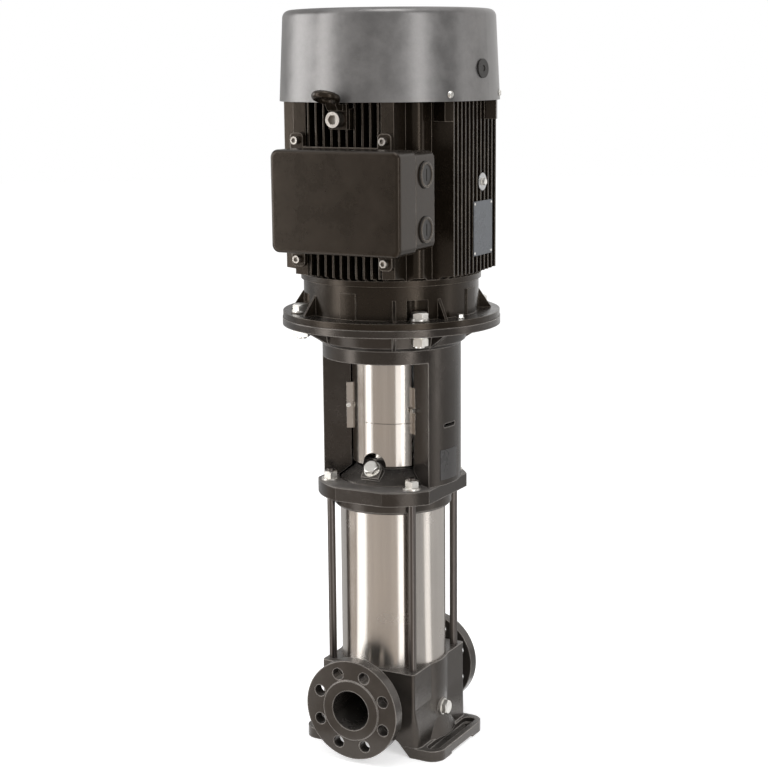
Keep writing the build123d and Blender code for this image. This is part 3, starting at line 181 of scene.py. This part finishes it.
def make_cast_skin():
    """The grain of a painted casting: fine bumps, wider dents and a mottled shade."""
    tree, given, wanted = new_effect("cast_skin", {"Scale": 900.0, "Depth": 0.0002, "Base Normal": None},
                                     {"Normal": "Vector", "Mottle": "Float"})
    place = object_place(tree)
    grain = noise(tree, place, given["Scale"], detail=4.0, roughness=0.65)
    dent_scale = worked_out(tree, "MULTIPLY", given["Scale"], DENTS_TO_GRAIN)
    dents = noise(tree, place, dent_scale, detail=3.0, roughness=0.5)
    bump = add_node(tree, "ShaderNodeBump", {
        "Strength": 1.0, "Distance": given["Depth"], "Height": worked_out(tree, "ADD", grain, dents),
        "Normal": given["Base Normal"]})
    mottle = noise(tree, place, MOTTLE_SCALE, detail=5.0, roughness=0.7)
    tree.links.new(bump.outputs[0], wanted["Normal"])
    tree.links.new(rescale(tree, mottle, *MOTTLE_RANGE), wanted["Mottle"])
    return tree


BRUSH_STRENGTH = 0.6
STREAK_SCALE = 90.0
STREAK_RANGE = (0.3, 0.7)
SMUDGE_SCALE = 14.0
SMUDGE_RANGE = (0.35, 0.7)


def make_brushing():
    """Fine lines of brushed metal, drawn out along Z."""
    tree, given, wanted = new_effect("brushing", {"Scale": 1500.0, "Stretch": 0.02, "Depth": 0.00002,
                                                  "Base Normal": None},
                                     {"Normal": "Vector", "Streak": "Float", "Smudge": "Float"})
    place = object_place(tree)
    stretch = add_node(tree, "ShaderNodeCombineXYZ", {0: 1.0, 1: 1.0, 2: given["Stretch"]}).outputs[0]
    drawn = add_node(tree, "ShaderNodeVectorMath", {0: place, 1: stretch}, operation="MULTIPLY").outputs[0]
    lines = noise(tree, drawn, given["Scale"], detail=3.0, roughness=0.6)
    bump = add_node(tree, "ShaderNodeBump", {
        "Strength": BRUSH_STRENGTH, "Distance": given["Depth"], "Height": lines,
        "Normal": given["Base Normal"]})
    streak = noise(tree, drawn, STREAK_SCALE, detail=4.0, roughness=0.6)
    smudge = noise(tree, place, SMUDGE_SCALE, detail=4.0, roughness=0.6)
    tree.links.new(bump.outputs[0], wanted["Normal"])
    tree.links.new(rescale(tree, streak, *STREAK_RANGE), wanted["Streak"])
    tree.links.new(rescale(tree, smudge, *SMUDGE_RANGE), wanted["Smudge"])
    return tree


# How steeply a face looks up, as a sine, where the dust and painted top light start and where they are thickest
DUST_AND_LIGHT_STARTS, DUST_AND_LIGHT_FULL = 0.35, 0.95
DUST_PATCH_SCALE = 45.0
DUST_PATCH_RANGE = (0.3, 0.7)
THINNEST_DUST = 0.5


def make_dust_and_top_light():
    """A patchy mask of the faces that look up, for settled dust and painted light from above."""
    tree, given, wanted = new_effect("dust_and_top_light", {"Share": 0.5}, {"Dust And Top Light": "Float"})
    normal = add_node(tree, "ShaderNodeNewGeometry").outputs["Normal"]
    rise = add_node(tree, "ShaderNodeSeparateXYZ", {0: normal}).outputs[2]
    facing = rescale(tree, rise, DUST_AND_LIGHT_STARTS, DUST_AND_LIGHT_FULL)
    patches = noise(tree, object_place(tree), DUST_PATCH_SCALE, detail=4.0, roughness=0.7)
    cover = rescale(tree, patches, *DUST_PATCH_RANGE, THINNEST_DUST, 1.0)
    dusted_and_lit = worked_out(tree, "MULTIPLY", facing, cover)
    tree.links.new(worked_out(tree, "MULTIPLY", dusted_and_lit, given["Share"]), wanted["Dust And Top Light"])
    return tree


SOFT_EDGES = make_soft_edges()
DUST_AND_TOP_LIGHT = make_dust_and_top_light()
CAST_SKIN = make_cast_skin()
BRUSHING = make_brushing()


def place_effect(tree, effect, inputs):
    """One use of an effect group in a finish."""
    made = tree.nodes.new("ShaderNodeGroup")
    made.node_tree = effect
    fill_inputs(tree, made.inputs, inputs)
    return made.outputs


def new_finish(name):
    """An empty material and its main shader."""
    material = bpy.data.materials.new(name)
    material.use_nodes = True
    tree = material.node_tree
    tree.nodes.clear()
    shader = tree.nodes.new("ShaderNodeBsdfPrincipled")
    output = tree.nodes.new("ShaderNodeOutputMaterial")
    tree.links.new(shader.outputs[0], output.inputs["Surface"])
    return material, tree, shader


# Colour of settled dust, which also stands in for painted light on the faces that look up
DUST_AND_TOP_LIGHT_COLOUR = (0.21, 0.198, 0.188)
DUST_ROUGHNESS = 0.45
MOTTLE_LIGHTER = 1.35
# Least share of edge wear and painted edge highlight, where the mottle is lowest
LEAST_WEAR_AND_HIGHLIGHT = 0.4
PAINT_SPREAD = (-0.05, 0.06)


def paint(name, colour, worn_and_lit, roughness, grain, depth, edge, gloss, wear_and_highlight, sheen=0.0,
          tint=(1.0, 1.0, 1.0), dust_and_top_light_share=0.0):
    """Paint over cast or pressed metal: mottled and grained, lighter on top for dust and painted light from
    above, and lighter at its edges for rubbed wear and painted edge highlights.

    Sheen is its metal share, and tint the colour of its gloss.
    """
    material, tree, shader = new_finish(name)
    edges = place_effect(tree, SOFT_EDGES, {"Radius": edge})
    skin = place_effect(tree, CAST_SKIN, {"Scale": grain, "Depth": depth, "Base Normal": edges["Normal"]})
    lighter = tuple(min(1.0, share * MOTTLE_LIGHTER) for share in colour)
    shade = mixed(tree, skin["Mottle"], colour, lighter)
    # Edges are painted lighter: partly rubbed wear, partly painted highlights where the edges catch the light
    wear_and_highlight_here = rescale(tree, skin["Mottle"], 0.0, 1.0, wear_and_highlight * LEAST_WEAR_AND_HIGHLIGHT, wear_and_highlight)
    rubbed_and_lit = worked_out(tree, "MULTIPLY", edges["Edge"], wear_and_highlight_here, use_clamp=True)
    # Faces that look up are painted lighter: partly settled dust, partly painted light from above
    dusted_and_lit = place_effect(tree, DUST_AND_TOP_LIGHT, {"Share": dust_and_top_light_share})["Dust And Top Light"]
    clean_roughness = spread_about(tree, skin["Mottle"], roughness, PAINT_SPREAD)
    fill_inputs(tree, shader.inputs, {
        "Base Color": mixed(tree, dusted_and_lit, mixed(tree, rubbed_and_lit, shade, worn_and_lit), DUST_AND_TOP_LIGHT_COLOUR),
        "Roughness": worked_out(tree, "MULTIPLY_ADD", dusted_and_lit, DUST_ROUGHNESS, clean_roughness),
        "Normal": skin["Normal"],
        "Specular IOR Level": gloss,
        "Metallic": sheen,
        "Specular Tint": (*tint, 1.0),
    })
    return material


METAL_SPREAD = (-0.04, 0.06)
METAL_EDGE = 0.0005
ALONG_Z = 0.25


def metal(name, colour, dull, roughness, stretch=0.02, scale=1500.0, depth=0.00001, drawn_out=0.0):
    """Bare metal with brushed or turned lines and a few duller stretches.

    Drawn out, its highlights run along Z.
    """
    material, tree, shader = new_finish(name)
    edges = place_effect(tree, SOFT_EDGES, {"Radius": METAL_EDGE})
    lines = place_effect(tree, BRUSHING, {
        "Scale": scale, "Stretch": stretch, "Depth": depth, "Base Normal": edges["Normal"]})
    fill_inputs(tree, shader.inputs, {
        "Base Color": mixed(tree, lines["Streak"], dull, colour),
        "Roughness": spread_about(tree, lines["Smudge"], roughness, METAL_SPREAD),
        "Normal": lines["Normal"],
        "Metallic": 1.0,
    })
    if drawn_out:
        around = add_node(tree, "ShaderNodeTangent", direction_type="RADIAL", axis="Z")
        fill_inputs(tree, shader.inputs, {
            "Tangent": around.outputs[0], "Anisotropic": drawn_out, "Anisotropic Rotation": ALONG_Z})
    return material


# How much lighter plastic edges are painted, for rubbed wear and painted edge highlights
RUBBED_AND_LIT_LIGHTER = 2.0


def plastic(name, colour, roughness):
    """Moulded plastic or rubber with a fine grain."""
    worn_and_lit = tuple(min(1.0, share * RUBBED_AND_LIT_LIGHTER) for share in colour)
    return paint(name, colour, worn_and_lit, roughness, grain=2500.0, depth=0.00003, edge=0.0006, gloss=0.4, wear_and_highlight=0.3)


# Painted castings and sheet
# Lighter colour of rubbed cast edges, which also paints their edge highlights
CAST_WORN_AND_LIT = (0.42, 0.39, 0.36)
CAST_GLOSS = (1.0, 0.88, 0.78)
pump_paint = paint("pump_paint", (0.026, 0.0228, 0.0200), CAST_WORN_AND_LIT, 0.21, grain=300.0,
                   depth=0.00022, edge=0.0030, gloss=0.58, wear_and_highlight=1.0, tint=CAST_GLOSS, dust_and_top_light_share=0.22)
stool_paint = paint("stool_paint", (0.0135, 0.0115, 0.0100), CAST_WORN_AND_LIT, 0.22, grain=350.0,
                    depth=0.00014, edge=0.0028, gloss=0.55, wear_and_highlight=0.8, tint=CAST_GLOSS, dust_and_top_light_share=0.8)
motor_paint = paint("motor_paint", (0.0085, 0.0062, 0.0042), (0.30, 0.26, 0.22), 0.22, grain=800.0,
                    depth=0.00010, edge=0.0016, gloss=0.32, wear_and_highlight=0.7, tint=(1.0, 0.82, 0.66), dust_and_top_light_share=0.12)
box_paint = paint("box_paint", (0.0105, 0.0075, 0.0050), (0.24, 0.21, 0.18), 0.19, grain=1100.0,
                  depth=0.00006, edge=0.0030, gloss=0.34, wear_and_highlight=1.0, tint=(1.0, 0.84, 0.70), dust_and_top_light_share=0.12)
cover_paint = paint("cover_paint", (0.16, 0.155, 0.152), (0.3, 0.29, 0.28), 0.34, grain=1600.0,
                    depth=0.00002, edge=0.0012, gloss=0.5, wear_and_highlight=0.3, sheen=0.7)

# Brushed steel, its highlights drawn out along the pump
rod_steel = metal("rod_steel", (0.15, 0.135, 0.125), (0.105, 0.093, 0.086), 0.34, drawn_out=0.5)
stainless = metal("stainless", (0.66, 0.62, 0.575), (0.59, 0.55, 0.51), 0.23, drawn_out=0.94)
guard_steel = metal("guard_steel", (0.56, 0.52, 0.48), (0.48, 0.445, 0.41), 0.20, drawn_out=0.9)

# Turned, ground and plated metals
shaft_steel = metal("shaft_steel", (0.55, 0.55, 0.55), (0.42, 0.42, 0.42), 0.28)
bearing_steel = metal("bearing_steel", (0.68, 0.68, 0.70), (0.60, 0.60, 0.62), 0.12)
zinc_steel = metal("zinc_steel", (0.86, 0.84, 0.80), (0.66, 0.64, 0.60), 0.32,
                   stretch=1.0, scale=500.0, depth=0.00004)
dull_zinc = metal("dull_zinc", (0.52, 0.49, 0.45), (0.34, 0.31, 0.28), 0.36,
                  stretch=1.0, scale=500.0, depth=0.00004)
aluminium = metal("aluminium", (0.72, 0.72, 0.73), (0.60, 0.60, 0.61), 0.38,
                  stretch=1.0, scale=700.0, depth=0.00005)
lamination = metal("lamination", (0.32, 0.32, 0.34), (0.20, 0.20, 0.21), 0.45,
                   stretch=20.0, scale=200.0, depth=0.0001)
copper = metal("copper", (0.62, 0.27, 0.12), (0.44, 0.18, 0.08), 0.35, stretch=1.0, scale=600.0, depth=0.0002)
brass = metal("brass", (0.70, 0.52, 0.24), (0.52, 0.37, 0.16), 0.30, stretch=1.0, scale=600.0, depth=0.00003)

# Plastics, rubber and bare plates
carbon = plastic("carbon", (0.02, 0.02, 0.022), 0.35)
rubber = plastic("rubber", (0.012, 0.012, 0.012), 0.6)
black_plastic = plastic("black_plastic", (0.018, 0.016, 0.014), 0.42)
terminal_plastic = plastic("terminal_plastic", (0.10, 0.055, 0.03), 0.45)
label_film = plastic("label_film", (0.045, 0.043, 0.042), 0.3)
plate_film = plastic("plate_film", (0.075, 0.082, 0.092), 0.3)

# A finish for each record slot, and the nodes that differ from their slot's
SLOT_FINISH = {
    "pump_paint": pump_paint, "motor_paint": motor_paint, "cover_paint": cover_paint, "stainless": stainless,
    "shaft_steel": shaft_steel, "zinc_steel": zinc_steel, "bearing_steel": bearing_steel,
    "aluminium": aluminium, "lamination": lamination, "copper": copper, "brass": brass, "carbon": carbon,
    "rubber": rubber, "black_plastic": black_plastic, "terminal_plastic": terminal_plastic,
}
NODE_FINISH = {
    "motor_stool": stool_paint, "terminal_box": box_paint, "terminal_box_cover": box_paint,
    "stay_bolts": rod_steel, "coupling_guard_front": guard_steel, "coupling_guard_rear": guard_steel,
    "name_plate": plate_film, "earth_screws": zinc_steel, "terminal_box_screws": dull_zinc,
    "lifting_eye_screws": dull_zinc,
}
for part in frame["record"]["subparts"]:
    name = part["node"]
    finish = NODE_FINISH.get(name, SLOT_FINISH[part["material_slot"]])
    data = nodes[name].data
    data.materials.clear()
    data.materials.append(finish)


# Small pieces that the solids leave out

def add_piece(name, shape, finish, body="root", smooth=False):
    """A new piece of the pump from a finished bmesh. It rides on a body."""
    bmesh.ops.recalc_face_normals(shape, faces=shape.faces)
    data = bpy.data.meshes.new(name)
    shape.to_mesh(data)
    shape.free()
    if smooth:
        data.polygons.foreach_set("use_smooth", [True] * len(data.polygons))
    data.materials.append(finish)
    piece = bpy.data.objects.new(name, data)
    scene.collection.objects.link(piece)
    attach(piece, body)


def spin_section(shape, corners, middle, axis, angle, steps, closed=True):
    """A section spun about an axis.

    A full turn is welded to itself, and a part turn of a closed section has ends.
    """
    whole = angle == tau
    points = [shape.verts.new(corner) for corner in corners]
    if closed and not whole:
        end = shape.faces.new(points)
        section = points + list(end.edges) + [end]
    else:
        after = points[1:] + points[:1] if closed else points[1:]
        section = points + [shape.edges.new(pair) for pair in zip(points, after)]
    bmesh.ops.spin(shape, geom=section, cent=middle, axis=axis, angle=angle, steps=steps, use_merge=whole)


def round_about_z(section, start, end, steps, closed=True):
    """A (radius, height) section spun about the pump's axis from one angle in degrees to another."""
    shape = bmesh.new()
    across = cos(radians(start)), sin(radians(start))
    corners = [(radius * across[0], radius * across[1], height) for radius, height in section]
    spin_section(shape, corners, (0, 0, 0), (0, 0, 1), radians(end - start), steps, closed)
    return shape


RING_STEPS = 40


def ring_on_x(shape, place, section):
    """A closed (radius, X) section spun round the X axis through a place."""
    corners = [place + Vector((x, radius, 0)) for radius, x in section]
    spin_section(shape, corners, place, (1, 0, 0), tau, RING_STEPS)


# How deep a small piece is sunk into the face it sits on
SUNK = 0.1 * MM

GUARD_RADIUS = 65.0 * MM
GUARD_SEAM_HEIGHT = 548.0 * MM
GUARD_SEAM_SIZE = 0.7 * MM
GUARD_SEAM_REACH = 55.0
GUARD_SIDES = {"front": -90.0, "rear": 90.0}


def make_guard_seams():
    """The raised line across each guard, where its two sheets meet."""
    section = [(GUARD_RADIUS - SUNK, GUARD_SEAM_HEIGHT + GUARD_SEAM_SIZE),
               (GUARD_RADIUS + GUARD_SEAM_SIZE, GUARD_SEAM_HEIGHT),
               (GUARD_RADIUS - SUNK, GUARD_SEAM_HEIGHT - GUARD_SEAM_SIZE)]
    for side, middle in GUARD_SIDES.items():
        shape = round_about_z(section, middle - GUARD_SEAM_REACH, middle + GUARD_SEAM_REACH, steps=48)
        add_piece("guard_seam_" + side, shape, guard_steel)


LEG_RADIUS = 112.5 * MM
LABEL_ANGLES = (-19.0, 5.0)
LABEL_HEIGHTS = (459.0 * MM, 508.0 * MM)
LABEL_THICKNESS = 0.6 * MM


def make_leg_label():
    """The bare plate low on the right leg."""
    low, high = LABEL_HEIGHTS
    inner, outer = LEG_RADIUS - SUNK, LEG_RADIUS + LABEL_THICKNESS
    section = [(inner, low), (outer, low), (outer, high), (inner, high)]
    add_piece("leg_label", round_about_z(section, *LABEL_ANGLES, steps=16), label_film)


PLATE_FACE = 151.2 * MM
PLATE_MIDDLE = (26.2 * MM, 860.5 * MM)
RIVET_SPREAD = (29.5 * MM, 38.5 * MM)
RIVET_RADIUS = 2.2 * MM
RIVET_FLATNESS = 0.45


def make_rivets():
    """Four rivets in the corners of the name plate."""
    shape = bmesh.new()
    for side in (-1, 1):
        for rise in (-1, 1):
            across = PLATE_MIDDLE[0] + side * RIVET_SPREAD[0]
            height = PLATE_MIDDLE[1] + rise * RIVET_SPREAD[1]
            flatten = Matrix.Diagonal((RIVET_FLATNESS, 1.0, 1.0, 1.0))
            place = Matrix.Translation((PLATE_FACE, across, height)) @ flatten
            bmesh.ops.create_uvsphere(shape, u_segments=20, v_segments=12, radius=RIVET_RADIUS, matrix=place)
    add_piece("name_plate_rivets", shape, zinc_steel, smooth=True)


EARTH_PLACE = Vector((150.0, 24.6, 932.5)) * MM
EARTH_WASHER_RADIUS = 14.0 * MM
EARTH_WASHER_THICKNESS = 1.4 * MM
# Where the washer's hole and chamfer lie, as shares of its radius, and of its thickness too for the chamfer
EARTH_WASHER_HOLE = 0.42
EARTH_WASHER_CHAMFER = (0.94, 0.6)


def make_earth_washer():
    """The wide washer under the earth screw on the right fins."""
    shape = bmesh.new()
    outer, thick = EARTH_WASHER_RADIUS, EARTH_WASHER_THICKNESS
    inner = outer * EARTH_WASHER_HOLE
    rim, side = outer * EARTH_WASHER_CHAMFER[0], thick * EARTH_WASHER_CHAMFER[1]
    ring_on_x(shape, EARTH_PLACE, [(inner, 0.0), (outer, 0.0), (outer, side), (rim, thick), (inner, thick)])
    add_piece("earth_washer", shape, shaft_steel)


ENTRY_FACE = 147.0 * MM
ENTRY_ACROSS = -160.0 * MM
ENTRY_HEIGHTS = (873.25 * MM, 954.25 * MM)
ENTRY_RING_RADII = (15.0 * MM, 19.6 * MM)
ENTRY_RING_RISE = 1.6 * MM
# How far the ring's inner and outer sides lean in over its rise
ENTRY_RING_SLOPES = (0.9 * MM, 0.6 * MM)


def make_entry_rings():
    """Raised rim on each blanked cable entry."""
    shape = bmesh.new()
    inner, outer = ENTRY_RING_RADII
    section = [(inner, -SUNK), (outer, -SUNK), (outer - ENTRY_RING_SLOPES[1], ENTRY_RING_RISE),
               (inner + ENTRY_RING_SLOPES[0], ENTRY_RING_RISE)]
    for height in ENTRY_HEIGHTS:
        ring_on_x(shape, Vector((ENTRY_FACE, ENTRY_ACROSS, height)), section)
    add_piece("entry_rings", shape, box_paint)


make_guard_seams()
make_leg_label()
make_rivets()
make_earth_washer()
make_entry_rings()


# Floor, world, cards and lamps

FLOOR_RADIUS = 14.0
FLOOR_TONE = (0.93, 0.93, 0.93, 1.0)
FLOOR_LIFT = 0.5
WORLD_LIGHT = 0.62
WHITE = (1.0, 1.0, 1.0, 1.0)
BLACK = (0.0, 0.0, 0.0, 1.0)


def seen_rays(tree):
    """1 for the rays that show the background: the camera's own, and those seen in metal or through glass."""
    path = add_node(tree, "ShaderNodeLightPath").outputs
    seen = worked_out(tree, "MAXIMUM", path["Is Camera Ray"], path["Is Glossy Ray"])
    return worked_out(tree, "MAXIMUM", seen, path["Is Transmission Ray"])


def make_floor():
    """A plain pale floor that keeps the pump's soft shadow."""
    data = bpy.data.meshes.new("floor")
    shape = bmesh.new()
    bmesh.ops.create_circle(shape, cap_ends=True, segments=64, radius=FLOOR_RADIUS)
    shape.to_mesh(data)
    shape.free()
    floor = bpy.data.objects.new("floor", data)
    scene.collection.objects.link(floor)
    material, tree, shader = new_finish("floor_pale")
    fill_inputs(tree, shader.inputs, {
        "Base Color": FLOOR_TONE, "Roughness": 0.9, "Specular IOR Level": 0.0, "Emission Color": WHITE,
        "Emission Strength": worked_out(tree, "MULTIPLY", seen_rays(tree), FLOOR_LIFT)})
    data.materials.append(material)


def make_world():
    """White behind everything, and a weaker white light on the pump."""
    world = bpy.data.worlds.new("studio")
    world.use_nodes = True
    scene.world = world
    tree = world.node_tree
    tree.nodes.clear()
    light = add_node(tree, "ShaderNodeBackground", {"Color": WHITE, "Strength": WORLD_LIGHT})
    back = add_node(tree, "ShaderNodeBackground", {"Color": WHITE, "Strength": 1.0})
    both = add_node(tree, "ShaderNodeMixShader", {0: seen_rays(tree), 1: light.outputs[0], 2: back.outputs[0]})
    out = tree.nodes.new("ShaderNodeOutputWorld")
    tree.links.new(both.outputs[0], out.inputs["Surface"])


CARD_INSIDE = 0.25
CARD_OUTSIDE = 4.5
CARD_HIGH = 6.0
CARD_LIFT = 0.002
CARD_FLOOR = [(CARD_INSIDE, CARD_LIFT), (CARD_OUTSIDE, CARD_LIFT)]
CARD_WALL = [(CARD_OUTSIDE, CARD_LIFT), (CARD_OUTSIDE, CARD_HIGH)]
CARD_WARM = (1.0, 0.89, 0.79)
CARD_PLAIN = (1.0, 0.99, 0.98)


def make_card(name, section, start, end, tone, colour=CARD_PLAIN):
    """A studio card between two azimuths, on the floor or up the wall. Only mirror-like surfaces see it."""
    shape = round_about_z(section, start, end, steps=24, closed=False)
    data = bpy.data.meshes.new(name)
    shape.to_mesh(data)
    shape.free()
    material, tree, shader = new_finish(name + "_grey")
    fill_inputs(tree, shader.inputs, {
        "Base Color": BLACK, "Specular IOR Level": 0.0, "Emission Color": (*colour, 1.0),
        "Emission Strength": tone})
    data.materials.append(material)
    card = bpy.data.objects.new(name, data)
    scene.collection.objects.link(card)
    card.visible_camera = card.visible_diffuse = card.visible_shadow = card.visible_transmission = False


def make_lamp(name, azimuth, distance, height, size, radiance, aim_height=0.6):
    """A soft box, wide and tall as its size, at an azimuth about the pump, counted from +X."""
    wide, tall = size
    data = bpy.data.lights.new(name, "AREA")
    data.shape = "RECTANGLE"
    data.size, data.size_y = wide, tall
    data.energy = radiance * pi * wide * tall
    lamp = bpy.data.objects.new(name, data)
    scene.collection.objects.link(lamp)
    place = Vector((distance * cos(radians(azimuth)), distance * sin(radians(azimuth)), height))
    lamp.location = place
    lamp.rotation_euler = (Vector((0, 0, aim_height)) - place).to_track_quat("-Z", "Y").to_euler()
    lamp.visible_camera = False


make_floor()
make_world()
# What the sleeve, the guard and the castings mirror in the floor
make_card("card_front", CARD_FLOOR, start=-120.0, end=-52.0, tone=0.60, colour=CARD_WARM)
make_card("card_left", CARD_FLOOR, start=-180.0, end=-146.0, tone=0.50, colour=CARD_WARM)
make_card("card_left_rear", CARD_FLOOR, start=-240.0, end=-180.0, tone=0.52)
make_card("card_side", CARD_FLOOR, start=-29.0, end=8.0, tone=0.50)
make_card("card_side_rear", CARD_FLOOR, start=24.0, end=110.0, tone=0.52)
make_card("glow_left", CARD_FLOOR, start=-145.0, end=-124.0, tone=1.9)
make_card("glow_front", CARD_FLOOR, start=-51.0, end=-30.0, tone=2.2)
make_card("glow_side", CARD_FLOOR, start=8.0, end=22.0, tone=1.3)
# What the motor and its cover mirror on the walls
make_card("wall_front", CARD_WALL, start=-120.0, end=-52.0, tone=0.56)
make_card("wall_left", CARD_WALL, start=-146.0, end=-121.0, tone=1.5)
make_card("wall_left_rear", CARD_WALL, start=-240.0, end=-146.0, tone=0.50)
make_card("wall_side", CARD_WALL, start=-29.0, end=22.0, tone=0.22)
make_card("wall_side_rear", CARD_WALL, start=24.0, end=110.0, tone=1.0)
make_lamp("box_left_rear", -166.0, distance=2.6, height=1.3, size=(1.4, 1.6), radiance=3.2, aim_height=0.9)
make_lamp("strip_left", -132.0, distance=2.4, height=1.0, size=(0.50, 2.4), radiance=3.6)
make_lamp("strip_front", -30.0, distance=3.0, height=1.2, size=(0.50, 2.6), radiance=5.0)
make_lamp("strip_right", 17.0, distance=2.6, height=1.1, size=(0.40, 2.4), radiance=1.7)
make_lamp("box_top", -61.0, distance=0.9, height=3.4, size=(1.2, 1.2), radiance=3.5)
scene.view_settings.view_transform = "Standard"
